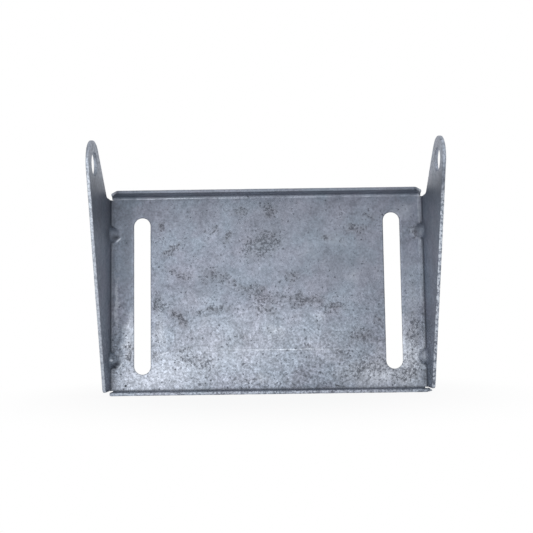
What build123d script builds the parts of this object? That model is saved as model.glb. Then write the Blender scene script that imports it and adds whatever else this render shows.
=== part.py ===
from build123d import *
import os
from math import acos, atan2, cos, hypot, sin, sqrt

# A keel roller bracket for a boat trailer, folded from one sheet of steel and galvanised.
# The origin is in the middle of the plate's back face.
# +X runs along the shaft, -Y points out of the plate towards the roller, and +Z is up.
# A reach is a distance out of the back face, along -Y. All sizes are in millimetres.

# Sheet
sheet = 2.66
fold_radius = 2.0
edge_round = 0.8
hole_chamfer = 0.45

# Clear width between the two ears
inner_width = 254.0

# Slots, which take the mounting bolts: the inset is from an ear to the middle of its slot, and
# the margin is from the ends of the right slot to the top and the bottom of the bracket's back.
# The left slot is punched a little lower.
slot_width = 13.6
slot_length = 127.0
slot_inset = 25.4
slot_margin = 18.0
left_slot_drop = 2.2

# Lips, which stiffen the plate along its top and bottom. Both run a little over the side
# folds. The top one narrows to its edge, and the bottom one is cut back at its own fold.
lip_overhang = 1.2
top_lip_reach = 17.7
top_lip_taper = 6.5
top_lip_corner = 4.0
bottom_lip_reach = 12.7
bottom_lip_corner = 2.5

# Ears: the foot, the leaning arm, and the eye that carries the shaft
ear_foot_gap = 3.3
ear_foot_reach = 20.2
ear_foot_corner = 4.0
notch_gap = 0.5
knee_reach = 18.2
knee_corner = 6.0
eye_reach = 61.0
eye_height = 93.5
eye_radius = 17.5
shaft_hole = 17.5

# Darts, pressed into the side folds to brace the ears
dart_spacing = 101.6
dart_middle = -3.0
dart_reach = 8.0
dart_radius = 7.0
dart_blend = 1.5

# What follows from those sizes
outer_radius = fold_radius + sheet
inner_half = inner_width / 2
outer_half = inner_half + sheet
flat_half = inner_half - fold_radius
lip_half = flat_half + lip_overhang
slot_middle = inner_half - slot_inset
plate_top = slot_length / 2 + slot_margin
fold_line = plate_top - outer_radius
ear_foot = ear_foot_gap - plate_top
ear_top = fold_line - notch_gap
eye_front = eye_reach + eye_radius
eye_top = eye_height + eye_radius
dart_heights = (dart_middle - dart_spacing / 2, dart_middle + dart_spacing / 2)

# A sketch drawn here has reach across and height up, as the bracket is seen from its +X side
side_view = Plane(origin=(0, 0, 0), x_dir=(0, -1, 0), z_dir=(-1, 0, 0))

# Closer than this, a point counts as lying on a plane
near = 0.001


def folded(points, side):
    """The section of a sheet whose outer side follows the points, folded at each corner."""
    outline = FilletPolyline(*points, radius=outer_radius)
    return make_face(outline.wire().offset_2d(sheet, side=side, closed=True))


def rounded_corners(face, corners, radius):
    """The face with some of its corners rounded."""
    nearest = [face.vertices().sort_by_distance(Vertex(*corner))[0] for corner in corners]
    return fillet(nearest, radius)


def soft_rim(shape, across, start):
    """The shape with the edges of its cut sides rounded, as far as they lie beyond the plane
    where they start. The cut sides are the faces that the axis across runs along."""
    rims = shape.faces().filter_by(lambda face: abs(face.normal_at().dot(across.direction)) < near)
    edges = ShapeList(edge for rim in rims for edge in rim.edges()).filter_by(across, reverse=True)
    free = edges.filter_by(lambda edge: start.to_local_coords(edge.center()).Z > near)
    return fillet(free, edge_round)


def eased_holes(shape, through):
    """The shape with the sharp edges of its punched holes taken off. The axis called through
    runs along the holes."""
    holes = [hole for face in shape.faces().filter_by(through) for hole in face.inner_wires()]
    return chamfer([edge for hole in holes for edge in hole.edges()], hole_chamfer)


def lip(fold_half, shoulder, reach, taper, corner, up, start):
    """A lip and the fold that it stands on, at the top where up is 1 and at the bottom where up
    is -1. The fold half is half the length of the fold, and the lip is at its full length from
    the reach called shoulder. Its rim is rounded beyond the plane called start."""
    side = Side.LEFT if up > 0 else Side.RIGHT
    section = folded([(reach, up * plate_top), (0, up * plate_top), (0, 0)], side)
    strip = extrude(side_view * section, lip_half, both=True)
    front = [(lip_half - taper, -reach), (taper - lip_half, -reach)]
    back = [(-lip_half, -shoulder), (lip_half, -shoulder)]
    flat = rounded_corners(make_face(Polyline(*front, *back, close=True)), front, corner)
    plan = flat + Pos(0, -shoulder / 2) * Rectangle(2 * fold_half, shoulder)
    trimmed = strip & Pos(0, 0, up * fold_line) * extrude(plan, up * outer_radius)
    return soft_rim(trimmed, Axis.Z, start)


def tangent_point(reach, height, side):
    """Where a line from a corner of the ear meets the round of the eye, on the side +1 or -1."""
    across = eye_reach - reach
    up = eye_height - height
    turn = atan2(-up, -across) + side * acos(eye_radius / hypot(across, up))
    return eye_reach + eye_radius * cos(turn), eye_height + eye_radius * sin(turn)


def ear_outline():
    """The ear from its side, from the back face to the eye."""
    foot = (ear_foot_reach, ear_foot)
    knee = (knee_reach, ear_top)
    edges = [foot, tangent_point(*foot, 1), (eye_reach, eye_height), tangent_point(*knee, -1), knee]
    arm = make_face(Polyline((0, ear_foot), *edges, (0, ear_top), close=True))
    arm = rounded_corners(arm, [foot], ear_foot_corner)
    arm = rounded_corners(arm, [knee], knee_corner)
    return arm + Pos(eye_reach, eye_height) * Circle(eye_radius)


def ear():
    """The right ear and the fold that it stands on."""
    section = folded([(0, 0), (outer_half, 0), (outer_half, -eye_front)], Side.RIGHT)
    strip = Pos(0, 0, ear_foot) * extrude(section, eye_top - ear_foot)
    trimmed = strip & Pos(flat_half, 0, 0) * extrude(side_view * ear_outline(), -outer_radius)
    hole = extrude(side_view * Pos(eye_reach, eye_height) * Circle(shaft_hole / 2), -2 * outer_half)
    return eased_holes(soft_rim(trimmed, Axis.X, Plane.YZ.offset(flat_half)) - hole, Axis.X)


def plate():
    """The flat of the plate, between its four folds, with the two upright slots."""
    flat = Rectangle(2 * flat_half, 2 * fold_line)
    for across, height in ((-slot_middle, -left_slot_drop), (slot_middle, 0)):
        flat = flat - Pos(across, height) * SlotOverall(slot_length, slot_width, rotation=90)
    return eased_holes(extrude(Plane.XZ * flat, sheet), Axis.Y)


def dart(height):
    """One dart in the right side fold: its round ridge inside, and the dent that it leaves
    outside."""
    crest = dart_reach / sqrt(2)
    across_fold = Plane(origin=(inner_half, -sheet, height), x_dir=(-1, -1, 0), z_dir=(1, -1, 0))
    middle = across_fold * Pos(crest - dart_radius, 0)
    length = 2 * (dart_reach + outer_radius)
    ridge = extrude(middle * Circle(dart_radius), length, both=True)
    corner = Pos(inner_half + sheet / 4, -3 * sheet / 4, height) * Box(
        length, length, 3 * dart_radius, align=(Align.MAX, Align.MAX, Align.CENTER)
    )
    return ridge & corner, extrude(middle * Circle(dart_radius - sheet), length, both=True)


def meets_dart(edge):
    """Whether an edge is one where the ridge of a dart meets the sheet."""
    place = edge.center()
    curved = edge.geom_type in (GeomType.ELLIPSE, GeomType.BSPLINE)
    inside = abs(place.X) < inner_half + near and place.Y < near - sheet
    return curved and inside and min(abs(place.Z - height) for height in dart_heights) < dart_radius


def both_sides(shape):
    """The shape and its mirror image on the left."""
    return [shape, mirror(shape, Plane.YZ)]


def bracket():
    """The whole sheet, folded and pressed."""
    over_fold = Plane.XY.offset(fold_line)
    past_fold = Plane.XZ.offset(outer_radius)
    past_round = outer_radius + edge_round
    top = lip(lip_half, past_round, top_lip_reach, top_lip_taper, top_lip_corner, 1, over_fold)
    bottom = lip(flat_half, outer_radius, bottom_lip_reach, 0, bottom_lip_corner, -1, past_fold)
    body = plate() + top + bottom + both_sides(ear())
    for height in dart_heights:
        ridge, dent = dart(height)
        body = body + both_sides(ridge) - both_sides(dent)
    return fillet(body.edges().filter_by(meets_dart), dart_blend)


part = bracket()
print("solids", len(part.solids()), "valid", part.is_valid, "volume", part.volume, part.bounding_box())
os.makedirs("parts", exist_ok=True)
export_step(part, "parts/bracket.step")
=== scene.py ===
"""A keel roller bracket of galvanised sheet steel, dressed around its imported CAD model."""

from math import hypot, pi, radians

import bmesh
import bpy
from bpy.props import FloatProperty, FloatVectorProperty, PointerProperty
from mathutils import Matrix, Vector, noise


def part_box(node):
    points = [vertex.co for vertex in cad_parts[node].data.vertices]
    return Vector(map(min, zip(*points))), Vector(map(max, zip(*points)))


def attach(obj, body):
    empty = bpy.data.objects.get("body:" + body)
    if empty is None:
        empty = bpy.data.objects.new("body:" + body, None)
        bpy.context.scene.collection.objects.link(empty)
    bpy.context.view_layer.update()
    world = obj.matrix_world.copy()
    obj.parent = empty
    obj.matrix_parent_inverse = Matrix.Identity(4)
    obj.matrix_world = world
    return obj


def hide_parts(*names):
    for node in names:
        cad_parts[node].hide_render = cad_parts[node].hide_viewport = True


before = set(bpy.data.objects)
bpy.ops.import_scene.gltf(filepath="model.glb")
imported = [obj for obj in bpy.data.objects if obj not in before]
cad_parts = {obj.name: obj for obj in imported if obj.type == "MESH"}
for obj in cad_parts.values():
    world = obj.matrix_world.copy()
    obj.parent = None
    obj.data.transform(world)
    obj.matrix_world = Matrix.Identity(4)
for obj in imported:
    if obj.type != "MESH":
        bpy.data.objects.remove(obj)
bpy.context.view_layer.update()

bl_info = {
    "name": "Galvanised Roller Bracket",
    "version": (1, 0, 0),
    "blender": (4, 5, 0),
    "location": "View3D > Sidebar > Bracket",
    "description": "Dresses a folded sheet bracket with its zinc coat, and stands it in a studio",
    "category": "Add Mesh",
}

LOW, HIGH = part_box("bracket")
MM = 0.001

# The sheet's own sizes, in mm, as the CAD model has them. The reach of an eye is how far its
# middle lies out of the back face, along -Y.
SHEET = 2.66
INNER_HALF = 127.0
PLATE_TOP = 81.5
EYE_REACH = 61.0
EYE_HEIGHT = 93.5
DART_HEIGHTS = (-53.8, 47.8)

# Marks on the front of the plate. Each is x, z, half length and half width in mm, the turn in
# degrees against the clock, and the strength. First come clouds of fine pits.
PIT_CLOUDS = (
    (-4, 38, 27, 17, 20, 0.85),
    (-20, 66, 11, 7, 0, 0.6),
    (2, 66, 9, 11, 0, 0.65),
    (-76, 36, 15, 6, 35, 0.9),
    (-85, 54, 5, 5, 0, 0.8),
    (-45, 50, 8, 6, 0, 0.6),
    (-32, 45, 6, 8, 0, 0.7),
    (72, 51, 15, 8, -20, 0.75),
    (83, 60, 10, 3, 0, 0.6),
    (50, 44, 9, 3, 0, 0.6),
    (-42, 14, 26, 11, -12, 0.5),
    (-5, -3, 28, 9, -20, 0.75),
    (-4, -15, 15, 7, -20, 0.8),
    (-88, -8, 9, 13, 0, 0.85),
    (-72, -20, 16, 7, -50, 0.8),
    (30, -7, 28, 8, -4, 0.8),
    (55, -14, 15, 7, 0, 0.8),
    (19, 11, 11, 7, 0, 0.6),
    (-21, -36, 10, 6, 0, 0.6),
    (-68, -47, 10, 6, 0, 0.65),
    (-89, -51, 7, 6, 30, 0.5),
    (77, -37, 17, 10, -20, 0.65),
    (90, -24, 7, 6, 0, 0.6),
    (32, -44, 6, 4, 0, 0.6),
    (57, -50, 6, 4, 0, 0.6),
    (80, -62, 42, 19, 0, 0.65),
    (108, -67, 20, 12, 0, 0.95),
    (118, -34, 9, 20, 0, 1.0),
    (114, -58, 16, 22, 0, 0.6),
    (119, 46, 5, 9, 0, 0.7),
    (-15, -70, 24, 7, 0, 0.45),
    (-60, -55, 30, 8, -8, 0.6),
    (-112, -48, 14, 7, 90, 0.75),
    (-90, -30, 22, 6, 88, 0.3),
    (-66, 14, 32, 5, -16, 0.55),
    (-22, 4, 34, 6, -24, 0.6),
    (22, -6, 46, 6, -10, 0.6),
    (52, -12, 24, 5, -12, 0.55),
    (-86, -9, 18, 6, -38, 0.6),
    (-48, -15, 32, 4, 8, 0.6),
    (-76, 36, 10, 3, 40, 0.9),
)

# Pale bloom on the zinc, and painted sheen of light from low in front, brightest at the lower
# corners of the plate
BLOOMS_AND_PAINTED_SHEEN = (
    (-95, -70, 90, 34, 12, 1.0),
    (-40, -50, 110, 42, 10, 0.6),
    (-60, -8, 30, 14, 0, 0.2),
    (5, -32, 14, 10, 0, 0.9),
    (41, -21, 9, 9, 0, 0.5),
    (70, 11, 9, 9, 0, 0.35),
    (55, 41, 10, 8, 0, 0.2),
    (35, 33, 10, 8, 0, 0.15),
    (112, 64, 10, 9, 0, 0.5),
    (-5, -70, 12, 9, 0, 0.7),
    (50, -55, 16, 8, 0, 0.4),
    (-112, -72, 10, 18, 0, 0.9),
    (-50, -25, 14, 11, 0, 0.5),
    (-113, -26, 22, 5, 73, 1.0),
    (-108, -48, 18, 5, 80, 0.9),
    (-123, -6, 34, 2.5, 90, 0.8),
    (-112, -40, 28, 8, 84, 1.3),
    (112, -56, 46, 20, 90, 1.5),
    (94, -68, 50, 18, 0, 1.1),
    (40, -44, 50, 26, 0, 0.35),
    (-104, -64, 26, 12, 90, 1.2),
    (118, -10, 50, 10, 90, 0.5),
    (-88, -34, 24, 9, 90, 0.8),
    (-14, -72, 60, 10, 0, 0.45),
    (90, -54, 12, 16, 0, 0.4),
)

# Darker streaks and patches: partly thin zinc, partly painted shade over the upper plate and
# under the top fold
SHADES = (
    (-113, 28, 48, 7, 88, 1.0),
    (-119, -32, 30, 5, 76, 0.8),
    (-60, 62, 50, 18, 0, 0.5),
    (-10, 72, 110, 8, 0, 0.5),
    (-78, 4, 30, 2.5, -24, 0.7),
    (-46, -18, 32, 2.2, 9, 0.7),
    (-40, -22, 22, 1.6, 8, 0.5),
    (100, 10, 60, 12, 85, 0.6),
    (60, 20, 60, 34, 0, 0.8),
    (74, -32, 40, 20, 0, 0.5),
    (10, 58, 70, 26, 0, 0.6),
    # Painted shade under the top fold, at the left
    (-72, 77, 56, 4, 0, 1.0),
    (-52, 4, 24, 12, 0, 0.5),
    (38, 45, 46, 14, 0, 0.45),
    (-22, -38, 22, 14, 0, 0.6),
    (60, -72, 26, 9, 0, 0.6),
)

# Bright scratches, one of them a painted highlight along the top fold at the left, and the dark
# crease beside the bottom fold with a pinhole in the zinc
SCRATCHES_AND_FOLD_HIGHLIGHT = (
    (6, -46.9, 78, 0.5, -0.3, 1.0),
    (-84, -48.9, 11, 0.5, 20, 0.8),
    (33, -46.5, 12, 0.5, 2, 0.7),
    # Painted highlight along the top fold, at the left
    (-84, 76.9, 46, 0.5, 0.3, 0.8),
)
CREASES = (
    (56.6, -76.3, 9, 0.7, -10, 1.0),
    (63, -72.5, 8, 0.6, 20, 0.7),
    (-114.8, -74.2, 1.3, 1.2, 0, 2.0),
)

# Marks on the darts: painted shade in their hollows, and then painted highlights on their edges
# with one faint pale patch of painted light
DART_PAINTED_SHADE = (
    (-122.4, 45.2, 4.2, 2.6, 20, 0.8),
    (-121.8, -56.5, 4.0, 3.0, 30, 0.9),
    (-123.5, -59, 2.2, 3.4, 30, 0.8),
    (119, 42, 3, 1.2, 30, 0.5),
)
DART_PAINTED_HIGHLIGHTS = (
    (-120.9, 43.6, 3.2, 0.8, 42, 1.0),
    (-125.2, -53.6, 1.4, 1.1, 0, 1.0),
    (-119.5, -58.5, 4.0, 0.9, 55, 0.7),
    (117.6, 48.0, 1.0, 2.6, 0, 0.3),
    (121.5, -54.0, 6, 9, 0, 0.12),
)

# Beads of zinc along the front of the bottom lip, as x and half length in mm
BEADS = (
    (12, 2.2), (19, 1.2), (27, 1.6), (36, 2.6), (43, 1.3), (50, 1.8), (58, 3.0), (66, 1.4),
    (72, 2.0), (79, 1.3), (86, 2.6), (93, 1.5), (99, 1.9), (105, 1.3), (111, 2.4), (118, 1.6),
    (123, 2.0), (-34, 1.5), (-71, 1.8),
)


def linear(code):
    """The linear colour of an sRGB hex value."""
    parts = [int(code[place:place + 2], 16) / 255 for place in (1, 3, 5)]
    return tuple(
        part / 12.92 if part <= 0.04045 else ((part + 0.055) / 1.055) ** 2.4 for part in parts
    )


class BracketCoat(bpy.types.PropertyGroup):
    """The zinc coat's relief and colours."""

    spacing: FloatProperty(
        name="Mesh spacing", description="Distance between the points of the coat's mesh",
        default=2.4 * MM, min=1 * MM, max=8 * MM, unit="LENGTH",
    )
    coat_relief: FloatProperty(
        name="Coat relief", description="How far the zinc on the flat sides rises and falls",
        default=0.07 * MM, min=0.0, max=0.5 * MM, unit="LENGTH",
    )
    rim_relief: FloatProperty(
        name="Rim relief", description="How far the thick zinc on the cut edges rises and falls",
        default=0.22 * MM, min=0.0, max=0.6 * MM, unit="LENGTH",
    )
    zinc: FloatVectorProperty(
        name="Zinc", description="Colour of the weathered zinc",
        default=linear("#838a96"), size=3, min=0.0, max=1.0, subtype="COLOR",
    )
    # The bloom colour also paints the sheen low on the plate
    bloom_and_sheen: FloatVectorProperty(
        name="Bloom", description="Colour of the pale bloom on the zinc",
        default=linear("#b8bec8"), size=3, min=0.0, max=1.0, subtype="COLOR",
    )
    pit: FloatVectorProperty(
        name="Pits", description="Colour inside the pits",
        default=linear("#4f525b"), size=3, min=0.0, max=1.0, subtype="COLOR",
    )
    # The colour of the thick zinc with its painted highlights on the edges, folds and darts, and of
    # the scratches
    thick_zinc_and_highlight: FloatVectorProperty(
        name="Rims", description="Colour of the thick zinc on the cut edges",
        default=linear("#c3cad4"), size=3, min=0.0, max=1.0, subtype="COLOR",
    )
    stain: FloatVectorProperty(
        name="Stain", description="Colour of the brown stain among the pits",
        default=linear("#6a625f"), size=3, min=0.0, max=1.0, subtype="COLOR",
    )


class BracketStage(bpy.types.PropertyGroup):
    """The floor and the lamps."""

    floor: FloatVectorProperty(
        name="Floor", description="Colour of the floor",
        default=linear("#f4f5f7"), size=3, min=0.0, max=1.0, subtype="COLOR",
    )
    key: FloatProperty(
        name="Key lamp", description="Power of the low lamp at the left",
        default=2.5, min=0.0, unit="POWER",
    )
    fill: FloatProperty(
        name="Top lamp", description="Power of the lamp above",
        default=2.5, min=0.0, unit="POWER",
    )


def add(tree, kind, inputs=(), **settings):
    """Adds a node to a tree, with its settings and its inputs, which are values or sockets."""
    new = tree.nodes.new(kind)
    for name, value in settings.items():
        setattr(new, name, value)
    for name, value in dict(inputs).items():
        if isinstance(value, bpy.types.NodeSocket):
            tree.links.new(value, new.inputs[name])
        else:
            new.inputs[name].default_value = value
    return new


def marked(tree, place, marks):
    """Where the marks lie, from 0 outside them all to their own strength at a middle. A mark has
    no end along Y."""
    total, endless = 0.0, 1e6
    for x, z, half_length, half_width, turn, strength in marks:
        ellipse = {
            "Vector": place, "Location": (x, 0, z), "Rotation": (0, radians(-turn), 0),
            "Scale": (half_length, endless, half_width),
        }
        within = add(tree, "ShaderNodeMapping", ellipse, vector_type="TEXTURE").outputs[0]
        spot = add(tree, "ShaderNodeTexGradient", {0: within}, gradient_type="SPHERICAL")
        spot = {0: spot.outputs["Fac"], 1: strength}
        spot = add(tree, "ShaderNodeMath", spot, operation="MULTIPLY").outputs[0]
        total = add(tree, "ShaderNodeMath", {0: spot, 1: total}, operation="MAXIMUM").outputs[0]
    return total


def shaded(colour, share=1.0):
    """A colour with full alpha, made darker or lighter."""
    return (*[part * share for part in colour], 1.0)


def galvanised_steel(coat):
    """Hot-dip galvanised steel, weathered outdoors: a blue-grey zinc skin with a dull sheen and a
    fine grain, clouds of fine dark pits, a pale bloom partly painted as sheen, thick bright zinc
    on the cut edges with painted highlights, and painted shade in the folds, in the dart hollows,
    on the ears' upper arms and on the top lip.
    The real grain is about 0.5 mm, and is drawn at 1.6 and 3.4 mm so that it shows."""
    name = "hot_dip_galvanised_steel"
    if name in bpy.data.materials:
        return bpy.data.materials[name]
    material = bpy.data.materials.new(name)
    material.use_nodes = True
    tree = material.node_tree
    tree.nodes.clear()
    maths, vectors, fit = "ShaderNodeMath", "ShaderNodeVectorMath", "ShaderNodeMapRange"
    noises, blend = "ShaderNodeTexNoise", "ShaderNodeMix"
    coords = add(tree, "ShaderNodeTexCoord").outputs["Object"]
    place = add(tree, vectors, {"Vector": coords, "Scale": 1000.0}, operation="SCALE").outputs[0]
    axes = add(tree, "ShaderNodeSeparateXYZ", {0: place}).outputs
    away = add(tree, vectors, {0: place}, operation="ABSOLUTE").outputs[0]
    sizes = add(tree, "ShaderNodeSeparateXYZ", {0: away}).outputs

    # Where a point is: on the front of the plate, before it, between the ears, or on an ear. The
    # insides of the folds, the darts and the lips lie before the plate and between the ears.
    plate = {0: axes["Y"], 1: -SHEET, 2: SHEET / 2}
    plate = add(tree, maths, plate, operation="COMPARE").outputs[0]
    before = add(tree, maths, {0: sizes["Y"], 1: SHEET * 0.95}, operation="GREATER_THAN").outputs[0]
    between = {0: sizes["X"], 1: INNER_HALF - 0.15}
    between = add(tree, maths, between, operation="LESS_THAN").outputs[0]
    fold = add(tree, maths, {0: before, 1: between}, operation="MULTIPLY").outputs[0]
    ear = add(tree, maths, {0: 1.0, 1: between}, operation="SUBTRACT").outputs[0]

    # The edges of broad marks wander by up to 9 mm, and those of thin ones by up to 1 mm
    drift = {"Vector": place, "Scale": 1 / 9, "Detail": 4.0, "Roughness": 0.6}
    drift = {0: add(tree, noises, drift).outputs["Color"], 1: (0.5, 0.5, 0.5)}
    drift = add(tree, vectors, drift, operation="SUBTRACT").outputs[0]
    wide = {0: drift, 1: (18, 18, 18), 2: place}
    wide = add(tree, vectors, wide, operation="MULTIPLY_ADD").outputs[0]
    slight = {0: drift, 1: (2, 2, 2), 2: place}
    slight = add(tree, vectors, slight, operation="MULTIPLY_ADD").outputs[0]
    front = add(tree, maths, {0: plate, 1: fold}, operation="MAXIMUM").outputs[0]
    groups = (
        (PIT_CLOUDS, wide, front), (BLOOMS_AND_PAINTED_SHEEN, wide, plate), (SHADES, slight, plate),
        (SCRATCHES_AND_FOLD_HIGHLIGHT, slight, plate), (CREASES, slight, plate), (DART_PAINTED_SHADE, slight, fold),
        (DART_PAINTED_HIGHLIGHTS, slight, fold),
    )
    masks = []
    for marks, point, where in groups:
        mask = {0: marked(tree, point, marks), 1: where}
        masks.append(add(tree, maths, mask, operation="MULTIPLY").outputs[0])
    clouds, bloom_and_sheen, shade, scratch_and_highlight, crease_and_corner_shade, dart_shade, edge = masks

    # Grain of the zinc, from broad to fine, with one that is drawn out along Z. The speckle is
    # stronger in the thick zinc low on the plate and at the eyes.
    broad = add(tree, noises, {"Vector": place, "Scale": 1 / 40, "Detail": 2.0}).outputs["Fac"]
    lumps = {"Vector": place, "Scale": 1 / 11, "Detail": 3.0, "Roughness": 0.6}
    lumps = add(tree, noises, lumps).outputs["Fac"]
    grain = {"Vector": place, "Scale": 1 / 3.4, "Detail": 2.0, "Roughness": 0.6}
    grain = add(tree, noises, grain).outputs["Fac"]
    fine = {"Vector": place, "Scale": 1 / 1.6, "Detail": 1.0, "Roughness": 0.6}
    fine = add(tree, noises, fine).outputs["Fac"]
    drawn = add(tree, vectors, {0: place, 1: (0.35, 0.35, 0.012)}, operation="MULTIPLY").outputs[0]
    drawn = add(tree, noises, {"Vector": drawn, "Scale": 1.0, "Detail": 3.0}).outputs["Fac"]
    thick = {
        "Value": axes["Z"], "From Min": 20.0, "From Max": -70.0, "To Min": 0.55, "To Max": 1.35,
    }
    thick = add(tree, fit, thick, interpolation_type="SMOOTHSTEP").outputs[0]
    eyes = {"Value": axes["Z"], "From Min": 76.0, "From Max": 96.0, "To Max": 0.26}
    eyes = add(tree, fit, eyes, interpolation_type="SMOOTHSTEP").outputs[0]
    thick = add(tree, maths, {0: eyes, 1: 3.0, 2: thick}, operation="MULTIPLY_ADD").outputs[0]
    coarse = add(tree, maths, {0: grain, 1: 0.75, 2: fine}, operation="MULTIPLY_ADD").outputs[0]
    speckle = add(tree, maths, {0: coarse, 1: 0.875}, operation="SUBTRACT").outputs[0]
    speckle = add(tree, maths, {0: speckle, 1: thick}, operation="MULTIPLY").outputs[0]
    tone = add(tree, maths, {0: broad, 1: 0.4}, operation="MULTIPLY").outputs[0]
    tone = add(tree, maths, {0: lumps, 1: 0.6, 2: tone}, operation="MULTIPLY_ADD").outputs[0]
    tone = add(tree, maths, {0: speckle, 1: 1.05, 2: tone}, operation="MULTIPLY_ADD").outputs[0]

    # Pits of a millimetre or so, thick in the clouds, and single dots between them
    stray = {"Value": lumps, "From Min": 0.5, "From Max": 0.75, "To Max": 0.4}
    stray = add(tree, fit, stray, interpolation_type="SMOOTHSTEP").outputs[0]
    dense = {"Value": clouds, "From Max": 0.68}
    dense = add(tree, fit, dense, interpolation_type="SMOOTHSTEP").outputs[0]
    dense = add(tree, maths, {0: dense, 1: stray}, operation="MAXIMUM").outputs[0]
    speck = {"Vector": place, "Scale": 1 / 1.8, "Detail": 2.0, "Roughness": 0.65, "Distortion": 0.2}
    speck = add(tree, noises, speck).outputs["Fac"]
    speck = add(tree, maths, {0: dense, 1: 0.19, 2: speck}, operation="MULTIPLY_ADD").outputs[0]
    speck = {"Value": speck, "From Min": 0.61, "From Max": 0.82, "To Max": 0.88}
    pits = add(tree, fit, speck, interpolation_type="SMOOTHSTEP").outputs[0]
    kinds = ((5.0, 0.32, 0.5, 0.12, 1.03), (2.2, 0.38, 0.66, 0.54, 1.06))
    for spacing, within, outside, more, least in kinds:
        cells = add(tree, "ShaderNodeTexVoronoi", {"Vector": slight, "Scale": 1 / spacing}).outputs
        dots = {0: fine, 1: 0.5, 2: cells["Distance"]}
        dots = add(tree, maths, dots, operation="MULTIPLY_ADD").outputs[0]
        dots = {
            "Value": dots, "From Min": within, "From Max": outside, "To Min": 0.8, "To Max": 0.0,
        }
        dots = add(tree, fit, dots, interpolation_type="SMOOTHSTEP").outputs[0]
        chance = add(tree, "ShaderNodeSeparateColor", {0: cells["Color"]}).outputs[0]
        for cause, weight in ((thick, 0.12), (dense, more)):
            chance = {0: cause, 1: weight, 2: chance}
            chance = add(tree, maths, chance, operation="MULTIPLY_ADD").outputs[0]
        chance = add(tree, maths, {0: chance, 1: least}, operation="GREATER_THAN").outputs[0]
        dots = add(tree, maths, {0: dots, 1: chance}, operation="MULTIPLY").outputs[0]
        pits = add(tree, maths, {0: pits, 1: dots}, operation="MAXIMUM").outputs[0]

    # Colour: the zinc, turned a little purple or green, and the pale bloom over it, partly
    # painted sheen, made lighter towards the eyes
    colour = {0: tone, 6: shaded(coat.zinc, 0.5), 7: shaded(coat.zinc, 1.42)}
    colour = add(tree, blend, colour, data_type="RGBA").outputs[2]
    hue = add(tree, noises, {"Vector": wide, "Scale": 1 / 26, "Detail": 2.0}).outputs["Fac"]
    hue = add(tree, fit, {"Value": hue, "From Min": 0.36, "From Max": 0.64}).outputs[0]
    hue = {0: hue, 6: (0.975, 1.01, 1.02, 1.0), 7: (1.03, 0.985, 1.0, 1.0)}
    hue = add(tree, blend, hue, data_type="RGBA").outputs[2]
    colour = {0: 1.0, 6: colour, 7: hue}
    colour = add(tree, blend, colour, data_type="RGBA", blend_type="MULTIPLY").outputs[2]
    bloom_and_sheen = add(tree, maths, {0: bloom_and_sheen, 1: 0.75}, operation="MULTIPLY").outputs[0]
    bloom_and_sheen = add(tree, maths, {0: bloom_and_sheen, 1: eyes}, operation="MAXIMUM").outputs[0]
    colour = {0: bloom_and_sheen, 6: colour, 7: shaded(coat.bloom_and_sheen)}
    colour = add(tree, blend, colour, data_type="RGBA").outputs[2]
    flecks = {"Value": speckle, "From Min": -0.3, "From Max": 0.3, "To Min": 0.78, "To Max": 1.22}
    flecks = add(tree, fit, flecks).outputs[0]
    colour = {0: bloom_and_sheen, 6: colour, 7: flecks}
    colour = add(tree, blend, colour, data_type="RGBA", blend_type="MULTIPLY").outputs[2]

    # Shade: the streaks and patches on the plate, partly thin zinc and partly painted shade;
    # painted shade on the ears below their eyes and on the top lip, most at its front edge; and
    # faint upright streaks on the ears
    shade = add(tree, maths, {0: shade, 1: 0.45}, operation="MULTIPLY").outputs[0]
    # Painted shade on the ears' upper arms, below their tips
    upper_ear_shade = {0: axes["X"], 1: -0.063, 2: axes["Z"]}
    upper_ear_shade = add(tree, maths, upper_ear_shade, operation="MULTIPLY_ADD").outputs[0]
    upper_ear_shade = {"Value": upper_ear_shade, "From Min": 42.0, "From Max": 66.0}
    upper_ear_shade = add(tree, fit, upper_ear_shade, interpolation_type="SMOOTHSTEP").outputs[0]
    tip = {0: axes["X"], 1: 0.025, 2: axes["Z"]}
    tip = add(tree, maths, tip, operation="MULTIPLY_ADD").outputs[0]
    tip = {"Value": tip, "From Min": 77.0, "From Max": 93.0, "To Min": 0.5, "To Max": 0.0}
    tip = add(tree, fit, tip, interpolation_type="SMOOTHSTEP").outputs[0]
    upper_ear_shade = add(tree, maths, {0: upper_ear_shade, 1: tip}, operation="MULTIPLY").outputs[0]
    upper_ear_shade = add(tree, maths, {0: upper_ear_shade, 1: ear}, operation="MULTIPLY").outputs[0]
    shade = add(tree, maths, {0: shade, 1: upper_ear_shade}, operation="MAXIMUM").outputs[0]
    # Painted shade on the top lip, most at its front edge
    top_lip_shade = {0: axes["Z"], 1: PLATE_TOP - SHEET - 0.2}
    top_lip_shade = add(tree, maths, top_lip_shade, operation="GREATER_THAN").outputs[0]
    top_lip_shade = add(tree, maths, {0: top_lip_shade, 1: between}, operation="MULTIPLY").outputs[0]
    front_edge = {
        "Value": axes["Y"], "From Min": -14.0, "From Max": -16.8, "To Min": 0.03, "To Max": 0.3,
    }
    front_edge = add(tree, fit, front_edge).outputs[0]
    top_lip_shade = add(tree, maths, {0: top_lip_shade, 1: front_edge}, operation="MULTIPLY").outputs[0]
    shade = add(tree, maths, {0: shade, 1: top_lip_shade}, operation="MAXIMUM").outputs[0]
    streaks = {"Value": drawn, "From Min": 0.4, "From Max": 0.65, "To Max": 0.09}
    streaks = add(tree, fit, streaks).outputs[0]
    streaks = add(tree, maths, {0: streaks, 1: ear}, operation="MULTIPLY").outputs[0]
    shade = add(tree, maths, {0: shade, 1: streaks}, operation="ADD").outputs[0]
    colour = {0: shade, 6: colour, 7: shaded(coat.zinc, 0.4)}
    colour = add(tree, blend, colour, data_type="RGBA").outputs[2]

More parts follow.
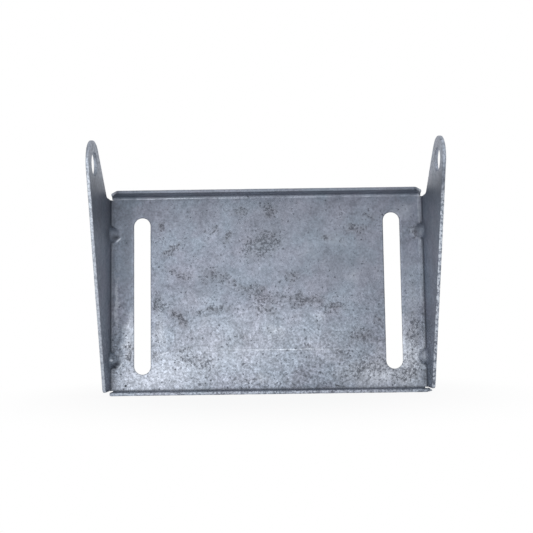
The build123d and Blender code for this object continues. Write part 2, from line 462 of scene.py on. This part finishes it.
    # A brown haze among the pits, the pits themselves, and the bright scratches with the painted
    # highlights along the top fold and on the darts
    haze = add(tree, maths, {0: dense, 1: 0.19}, operation="MULTIPLY").outputs[0]
    colour = {0: haze, 6: colour, 7: shaded(coat.stain)}
    colour = add(tree, blend, colour, data_type="RGBA").outputs[2]
    deep = add(tree, maths, {0: pits, 1: 0.65}, operation="MULTIPLY").outputs[0]
    colour = {0: deep, 6: colour, 7: shaded(coat.pit)}
    colour = add(tree, blend, colour, data_type="RGBA").outputs[2]
    worn = {"Value": grain, "From Min": 0.36, "From Max": 0.6, "To Min": 0.35, "To Max": 0.85}
    worn = add(tree, fit, worn).outputs[0]
    scratch_and_highlight = add(tree, fit, {"Value": scratch_and_highlight, "From Max": 0.6}).outputs[0]
    scratch_and_highlight = add(tree, maths, {0: scratch_and_highlight, 1: worn}, operation="MULTIPLY").outputs[0]
    # The painted highlights on the darts join the scratches
    edge = add(tree, fit, {"Value": edge, "From Max": 0.5, "To Max": 0.9}).outputs[0]
    scratch_and_highlight = add(tree, maths, {0: scratch_and_highlight, 1: edge}, operation="MAXIMUM").outputs[0]
    colour = {0: scratch_and_highlight, 6: colour, 7: shaded(coat.thick_zinc_and_highlight)}
    colour = add(tree, blend, colour, data_type="RGBA").outputs[2]

    # Painted shade inside the side folds and the bottom one, in a dark pit colour, joined with the
    # painted shade of the dart hollows and the real creases: how near a point is to the inner
    # corner, in mm
    crease_and_corner_shade = add(tree, maths, {0: dart_shade, 1: crease_and_corner_shade}, operation="MAXIMUM").outputs[0]
    corners = (
        (away, (INNER_HALF, SHEET, 0), (1, 1, 0), 4.2, 0.5),
        (place, (0, -SHEET, SHEET - PLATE_TOP), (0, 1, 1), 2.8, 0.42),
    )
    for point, corner, across, reach, depth in corners:
        near = add(tree, vectors, {0: point, 1: corner}, operation="SUBTRACT").outputs[0]
        near = add(tree, vectors, {0: near, 1: across}, operation="MULTIPLY").outputs[0]
        near = add(tree, vectors, {0: near}, operation="LENGTH").outputs["Value"]
        near = {"Value": near, "From Min": 0.6, "From Max": reach, "To Min": depth, "To Max": 0.0}
        near = add(tree, fit, near, interpolation_type="SMOOTHSTEP").outputs[0]
        near = add(tree, maths, {0: near, 1: before}, operation="MULTIPLY").outputs[0]
        crease_and_corner_shade = add(tree, maths, {0: near, 1: crease_and_corner_shade}, operation="MAXIMUM").outputs[0]
    colour = {0: crease_and_corner_shade, 6: colour, 7: shaded(coat.pit, 0.4)}
    colour = add(tree, blend, colour, data_type="RGBA").outputs[2]

    # Ragged bright lines at the top fold and the right one: thick zinc that ran there, with a
    # painted highlight where the fold's inside catches the light
    fold_highlights = ((axes["Z"], PLATE_TOP - 4.8, 0.45, 0.4), (axes["X"], INNER_HALF - 2.8, 0.9, 0.36))
    for across, middle, half_width, most in fold_highlights:
        fold_highlight = {0: across, 1: middle, 2: half_width}
        fold_highlight = add(tree, maths, fold_highlight, operation="COMPARE").outputs[0]
        fold_highlight = add(tree, maths, {0: fold_highlight, 1: front}, operation="MULTIPLY").outputs[0]
        ragged = {"Value": lumps, "From Min": 0.38, "From Max": 0.62, "To Max": most}
        ragged = add(tree, fit, ragged).outputs[0]
        fold_highlight = add(tree, maths, {0: fold_highlight, 1: ragged}, operation="MULTIPLY").outputs[0]
        colour = {0: fold_highlight, 6: colour, 7: shaded(coat.thick_zinc_and_highlight)}
        colour = add(tree, blend, colour, data_type="RGBA").outputs[2]

    # Thick zinc on the ears' front edges and the bottom lip, with a painted highlight, broken
    # by dark blotches, which are weaker on the left
    thick_zinc_and_highlight = add(tree, "ShaderNodeAttribute", attribute_name="thick_zinc_and_highlight").outputs["Fac"]
    least = {
        "Value": axes["X"], "From Min": -INNER_HALF, "From Max": 0.0, "To Min": 0.45, "To Max": 0.0,
    }
    least = add(tree, fit, least).outputs[0]
    blotch = {"Value": coarse, "From Min": 0.75, "From Max": 0.97, "To Min": least}
    blotch = add(tree, fit, blotch, interpolation_type="SMOOTHSTEP").outputs[0]
    thick_zinc_and_highlight = add(tree, maths, {0: thick_zinc_and_highlight, 1: blotch}, operation="MULTIPLY").outputs[0]
    colour = {0: thick_zinc_and_highlight, 6: colour, 7: shaded(coat.thick_zinc_and_highlight, 0.92)}
    colour = add(tree, blend, colour, data_type="RGBA").outputs[2]

    # Relief: the grain of the zinc, the pits, and the scratches with the painted highlights
    height = add(tree, maths, {0: speckle, 1: 0.9}, operation="MULTIPLY").outputs[0]
    height = add(tree, maths, {0: pits, 1: -0.9, 2: height}, operation="MULTIPLY_ADD").outputs[0]
    height = add(tree, maths, {0: scratch_and_highlight, 1: -0.5, 2: height}, operation="MULTIPLY_ADD").outputs[0]
    bump = {"Height": height, "Strength": 0.6, "Distance": 0.2 * MM}
    bump = add(tree, "ShaderNodeBump", bump).outputs[0]
    roughness = add(tree, maths, {0: tone, 1: -0.16, 2: 0.6}, operation="MULTIPLY_ADD").outputs[0]
    roughness = {0: pits, 1: 0.2, 2: roughness}
    roughness = add(tree, maths, roughness, operation="MULTIPLY_ADD").outputs[0]
    skin = {"Base Color": colour, "Metallic": 0.85, "Roughness": roughness, "Normal": bump}
    skin = add(tree, "ShaderNodeBsdfPrincipled", skin)
    add(tree, "ShaderNodeOutputMaterial", {"Surface": skin.outputs[0]})
    return material


def link(mesh_name, work, material):
    """Makes a bmesh an object in the scene."""
    mesh = bpy.data.meshes.new(mesh_name)
    work.to_mesh(mesh)
    work.free()
    mesh.materials.append(material)
    piece = bpy.data.objects.new(mesh_name, mesh)
    bpy.context.scene.collection.objects.link(piece)
    return piece


def cut_across(work, axis, spacing):
    """Cuts a mesh by even planes across one axis, so that no face is longer than the spacing."""
    normal = Vector((0, 0, 0))
    normal[axis] = 1
    span = HIGH[axis] - LOW[axis]
    count = int(span / spacing) + 1
    for step in range(1, count):
        where = normal * (LOW[axis] + span * step / count)
        geometry = work.verts[:] + work.edges[:] + work.faces[:]
        bmesh.ops.bisect_plane(work, geom=geometry, plane_co=where, plane_no=normal, dist=1e-7)


def rim_share(place, normal):
    """How much bright thick zinc with its painted highlight lies at a point of the sheet, whose
    place is in mm: most on the front edge of an ear, up to below the eye, and a little on the edge
    of the bottom lip."""
    lip_rim, lip_share, hole_zone = -11, 0.32, 12
    if place.z < SHEET + 0.3 - PLATE_TOP and place.y < lip_rim:
        return lip_share
    on_ear = abs(place.x) > INNER_HALF - 0.01 and place.y < -SHEET - 9
    on_edge = abs(normal.x) <= 0.8 and normal.y <= -0.3
    around_hole = hypot(place.y + EYE_REACH, place.z - EYE_HEIGHT) < hole_zone
    if not on_ear or not on_edge or around_hole:
        return 0.0
    fade_length, least = 25, 0.15
    fades_at, middle, slope = (104, 0.82, 1 / 350) if place.x < 0 else (80, 0.95, 1 / 600)
    faded = min(max((fades_at - place.z) / fade_length, least), 1.0)
    return faded * (middle + slope * place.z)


def soften_darts(work):
    """Softens the outlines of the four darts, where zinc has filled their corners."""
    across, out = 122, 7
    middles = [Vector((x, -out, z)) * MM for x in (-across, across) for z in DART_HEIGHTS]
    reach, passes = 13 * MM, 12
    around = [
        vert for vert in work.verts if min((vert.co - middle).length for middle in middles) < reach
    ]
    axes = {"use_axis_x": True, "use_axis_y": True, "use_axis_z": True}
    for _ in range(passes):
        bmesh.ops.smooth_vert(work, verts=around, factor=0.5, **axes)


class BRACKET_OT_sheet(bpy.types.Operator):
    """Make the folded sheet with its zinc coat"""

    bl_idname = "bracket.sheet"
    bl_label = "Folded Sheet"

    def execute(self, context):
        coat = context.scene.bracket_coat
        work = bmesh.new()
        work.from_mesh(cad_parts["bracket"].data)
        bmesh.ops.remove_doubles(work, verts=work.verts, dist=0.002 * MM)
        flat_angle = radians(0.05)
        bmesh.ops.dissolve_limit(work, angle_limit=flat_angle, verts=work.verts, edges=work.edges)
        for axis in range(3):
            cut_across(work, axis, coat.spacing)
        bmesh.ops.remove_doubles(work, verts=work.verts, dist=0.02 * MM)
        bmesh.ops.triangulate(work, faces=[face for face in work.faces if len(face.verts) > 4])
        soften_darts(work)
        work.normal_update()
        layer = work.verts.layers.float.new("thick_zinc_and_highlight")
        moves = []
        for vert in work.verts:
            place = vert.co / MM
            vert[layer] = rim_share(place, vert.normal)
            swell = noise.noise(place / 9) + 0.5 * noise.noise(place / 4 + Vector((7, 3, 5)))
            move = coat.coat_relief * swell
            if vert[layer] > 0:
                lump = noise.noise(place / 3.2 + Vector((1, 8, 2))) + 0.6 * noise.noise(place / 1.6)
                move += coat.rim_relief * lump * vert[layer]
            moves.append(vert.normal * move)
        for vert, move in zip(work.verts, moves):
            vert.co = Vector(min(max(a, b), c) for a, b, c in zip(vert.co + move, LOW, HIGH))
        for face in work.faces:
            face.smooth = True
        sheet = link("zinc_coated_sheet", work, galvanised_steel(coat))
        sheet.modifiers.new("even_shading", "WEIGHTED_NORMAL")
        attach(sheet, "root")
        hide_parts("bracket")
        return {"FINISHED"}


def shown(tree):
    """1 for what the camera sees, straight or in metal or glass, and 0 for the light that falls
    on the object."""
    ways = add(tree, "ShaderNodeLightPath").outputs
    either = {0: ways["Is Camera Ray"], 1: ways["Is Glossy Ray"]}
    either = add(tree, "ShaderNodeMath", either, operation="MAXIMUM").outputs[0]
    either = {0: either, 1: ways["Is Transmission Ray"]}
    return add(tree, "ShaderNodeMath", either, operation="MAXIMUM").outputs[0]


class BRACKET_OT_beads(bpy.types.Operator):
    """Make the beads of zinc on the bottom lip, and the drip at its right end"""

    bl_idname = "bracket.beads"
    bl_label = "Zinc Beads"

    def execute(self, context):
        work = bmesh.new()
        lip_edge, half_depth, half_height, rise = -12.55, 0.55, 0.75, 1.5
        for x, half_length in BEADS:
            bead = bmesh.ops.create_icosphere(work, subdivisions=3, radius=1.0)["verts"]
            lift = 0.5 * noise.noise(Vector((x / 5, 0, 0)))
            size = (half_length * MM, half_depth * MM, half_height * MM)
            bmesh.ops.scale(work, verts=bead, vec=size)
            place = (x * MM, lip_edge * MM, (lift + rise) * MM + LOW.z)
            bmesh.ops.translate(work, verts=bead, vec=place)

        # The drip points away from the end of the lip and a little down
        drip = bmesh.ops.create_icosphere(work, subdivisions=3, radius=1.0)["verts"]
        taper, thick_zinc_and_highlight = 0.65, 0.5
        for vert in drip:
            slim = 1 - taper * max(vert.co.x, 0)
            vert.co.y *= slim
            vert.co.z *= slim
        down = Matrix.Rotation(radians(10), 3, "Y")
        bmesh.ops.scale(work, verts=drip, vec=(3.0 * MM, 1.4 * MM, 1.5 * MM))
        bmesh.ops.rotate(work, verts=drip, cent=(0, 0, 0), matrix=down)
        bmesh.ops.translate(work, verts=drip, vec=(126.3 * MM, -10.8 * MM, LOW.z + 1.7 * MM))
        # The beads take half the thick zinc colour with its painted highlight
        layer = work.verts.layers.float.new("thick_zinc_and_highlight")
        for vert in work.verts:
            vert[layer] = thick_zinc_and_highlight
        for face in work.faces:
            face.smooth = True
        beads = link("zinc_beads", work, galvanised_steel(context.scene.bracket_coat))
        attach(beads, "root")
        return {"FINISHED"}


def floor_material(stage):
    """A matt white studio floor: it shows white to the camera and in the metal, takes a soft
    shadow near the object, and runs into the white behind within 0.3 m."""
    material = bpy.data.materials.new("matt_white_floor")
    material.use_nodes = True
    tree = material.node_tree
    tree.nodes.clear()
    matt = {"Base Color": shaded(stage.floor), "Roughness": 0.9}
    matt = add(tree, "ShaderNodeBsdfPrincipled", matt)
    white = add(tree, "ShaderNodeEmission", {"Color": (1, 1, 1, 1), "Strength": 1.0})
    coords = add(tree, "ShaderNodeTexCoord").outputs["Object"]
    away = add(tree, "ShaderNodeVectorMath", {0: coords}, operation="LENGTH").outputs["Value"]
    share = {"Value": away, "From Min": 0.1, "From Max": 0.26, "To Min": 0.88, "To Max": 1.0}
    share = add(tree, "ShaderNodeMapRange", share, interpolation_type="SMOOTHSTEP").outputs[0]
    share = add(tree, "ShaderNodeMath", {0: share, 1: shown(tree)}, operation="MULTIPLY").outputs[0]
    mixed = add(tree, "ShaderNodeMixShader", {0: share, 1: matt.outputs[0], 2: white.outputs[0]})
    add(tree, "ShaderNodeOutputMaterial", {"Surface": mixed.outputs[0]})
    return material


def lamp(name, power, width, height, place, target):
    """A soft oblong lamp that points at a target."""
    light = bpy.data.lights.new(name, "AREA")
    light.shape = "RECTANGLE"
    light.energy = power
    light.size = width
    light.size_y = height
    stand = bpy.data.objects.new(name, light)
    stand.location = place
    stand.rotation_euler = (Vector(target) - Vector(place)).to_track_quat("-Z", "Y").to_euler()
    stand.visible_camera = False
    bpy.context.scene.collection.objects.link(stand)


class BRACKET_OT_stage(bpy.types.Operator):
    """Make the floor, the lamps, the sky and the camera"""

    bl_idname = "bracket.stage"
    bl_label = "Stage"

    def execute(self, context):
        scene = context.scene
        stage = scene.bracket_stage
        work = bmesh.new()
        bmesh.ops.create_circle(work, cap_ends=True, radius=3.0, segments=96)
        bmesh.ops.translate(work, verts=work.verts, vec=(0, 0, LOW.z))
        link("studio_floor", work, floor_material(stage))

        key_place, key_target = (-0.25, -0.8, -0.015), (0, 0, -0.05)
        lamp("key", stage.key, width=0.9, height=0.12, place=key_place, target=key_target)
        lamp("top", stage.fill, width=1.2, height=1.2, place=(0.3, -0.5, 1.2), target=(0, 0, 0))

        world = bpy.data.worlds.new("studio")
        world.use_nodes = True
        tree = world.node_tree
        tree.nodes.clear()
        strength = {"Value": shown(tree), "To Min": 0.5, "To Max": 1.0}
        strength = add(tree, "ShaderNodeMapRange", strength).outputs[0]
        sky = add(tree, "ShaderNodeBackground", {"Color": (1, 1, 1, 1), "Strength": strength})
        add(tree, "ShaderNodeOutputWorld", {"Surface": sky.outputs[0]})
        scene.world = world
        scene.view_settings.view_transform = "Standard"

        # The camera that the photograph's edges give: its focal length in pixels of a frame 533
        # pixels wide, its place, and its turns in radians
        focal, frame_width = 741.2, 533
        place = (0, -602.7 * MM, -27.0 * MM)
        yaw, pitch, roll = 0.0010, 0.0786, -0.0137
        camera = bpy.data.cameras.new("camera")
        camera.sensor_width = 36
        camera.lens = focal / frame_width * camera.sensor_width
        camera.clip_end = 20
        eye = bpy.data.objects.new("camera", camera)
        turn = Matrix.Rotation(yaw, 4, "Z") @ Matrix.Rotation(pi / 2 + pitch, 4, "X")
        eye.matrix_world = Matrix.Translation(place) @ (turn @ Matrix.Rotation(roll, 4, "Z"))
        scene.collection.objects.link(eye)
        scene.camera = eye
        return {"FINISHED"}


class BRACKET_PT_panel(bpy.types.Panel):
    """Lists the bracket's pieces"""

    bl_idname = "BRACKET_PT_panel"
    bl_label = "Roller Bracket"
    bl_space_type = "VIEW_3D"
    bl_region_type = "UI"
    bl_category = "Bracket"

    def draw(self, context):
        for group in (context.scene.bracket_coat, context.scene.bracket_stage):
            box = self.layout.box()
            for name in group.__annotations__:
                box.prop(group, name)
        for operator in OPERATORS:
            self.layout.operator(operator.bl_idname)


OPERATORS = (BRACKET_OT_sheet, BRACKET_OT_beads, BRACKET_OT_stage)
CLASSES = (BracketCoat, BracketStage, *OPERATORS, BRACKET_PT_panel)


def register():
    """Registers the classes and their settings."""
    for new in CLASSES:
        bpy.utils.register_class(new)
    bpy.types.Scene.bracket_coat = PointerProperty(type=BracketCoat)
    bpy.types.Scene.bracket_stage = PointerProperty(type=BracketStage)


def unregister():
    """Takes the classes and their settings away."""
    del bpy.types.Scene.bracket_stage
    del bpy.types.Scene.bracket_coat
    for old in reversed(CLASSES):
        bpy.utils.unregister_class(old)


def main():
    """Makes the pieces in order."""
    register()
    bpy.ops.bracket.sheet()
    bpy.ops.bracket.beads()
    bpy.ops.bracket.stage()


if __name__ == "__main__":
    main()
